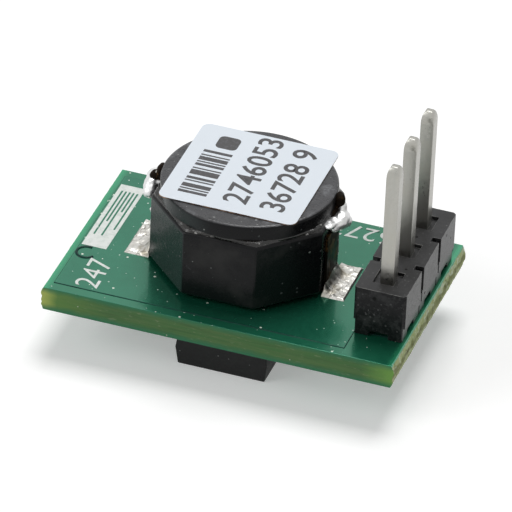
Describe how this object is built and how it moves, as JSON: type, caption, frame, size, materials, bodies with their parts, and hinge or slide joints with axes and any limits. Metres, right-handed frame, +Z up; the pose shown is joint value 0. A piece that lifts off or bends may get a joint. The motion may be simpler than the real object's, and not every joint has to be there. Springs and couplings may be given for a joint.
{
  "type": "dc-dc converter module",
  "caption": "Small open switching regulator module: board with a shielded power inductor and a row of square pins above, and a rectifier, regulator and ceramic capacitors below.",
  "frame": {"origin": "centre of the overall box at the rest plane, the flat face of the tallest parts under the board", "axes": "+X along the board towards the pin header, +Y along the row of pins, +Z up along the pins"},
  "size_m": [0.0174, 0.0108, 0.0121],
  "materials": {
    "board_laminate": "glass-fibre laminate under a satin green mask",
    "header_moulding": "matt black glass-filled moulding",
    "ferrite": "coated black ferrite",
    "resin": "glossy dark resin",
    "copper_wire": "enamelled copper",
    "tinned_copper": "tinned copper, satin",
    "tinned_brass": "tinned brass, drawn",
    "solder": "bright reflowed solder",
    "label_film": "cool white label",
    "package_moulding": "black epoxy moulding",
    "capacitor_ceramic": "tan ceramic",
    "resistor_ceramic": "glazed dark ceramic"
  },
  "bodies": {
    "root": {"circuit_board": "board_laminate", "header_housing": "header_moulding", "inductor_shield_ring": "ferrite", "inductor_core": "ferrite", "inductor_adhesive": "resin", "inductor_winding": "copper_wire", "inductor_label": "label_film", "diode_body": "package_moulding", "regulator_body": "package_moulding", "component_solder": "solder", "input_pin": "tinned_brass", "input_pin_solder": "solder", "ground_pin": "tinned_brass", "ground_pin_solder": "solder", "output_pin": "tinned_brass", "output_pin_solder": "solder", "inductor_terminal_left": "tinned_copper", "winding_lead_left": "copper_wire", "clip_solder_left": "solder", "pad_solder_left": "solder", "diode_lead_left": "tinned_copper", "inductor_terminal_right": "tinned_copper", "winding_lead_right": "copper_wire", "clip_solder_right": "solder", "pad_solder_right": "solder", "diode_lead_right": "tinned_copper", "regulator_leads": "tinned_copper", "input_capacitor_body": "capacitor_ceramic", "input_capacitor_ends": "tinned_copper", "output_capacitor_body": "capacitor_ceramic", "output_capacitor_ends": "tinned_copper", "bootstrap_capacitor_body": "capacitor_ceramic", "bootstrap_capacitor_ends": "tinned_copper", "compensation_capacitor_body": "capacitor_ceramic", "compensation_capacitor_ends": "tinned_copper", "compensation_resistor_body": "resistor_ceramic", "compensation_resistor_ends": "tinned_copper", "upper_feedback_resistor_body": "resistor_ceramic", "upper_feedback_resistor_ends": "tinned_copper", "lower_feedback_resistor_body": "resistor_ceramic", "lower_feedback_resistor_ends": "tinned_copper"}
  },
  "joints": []
}
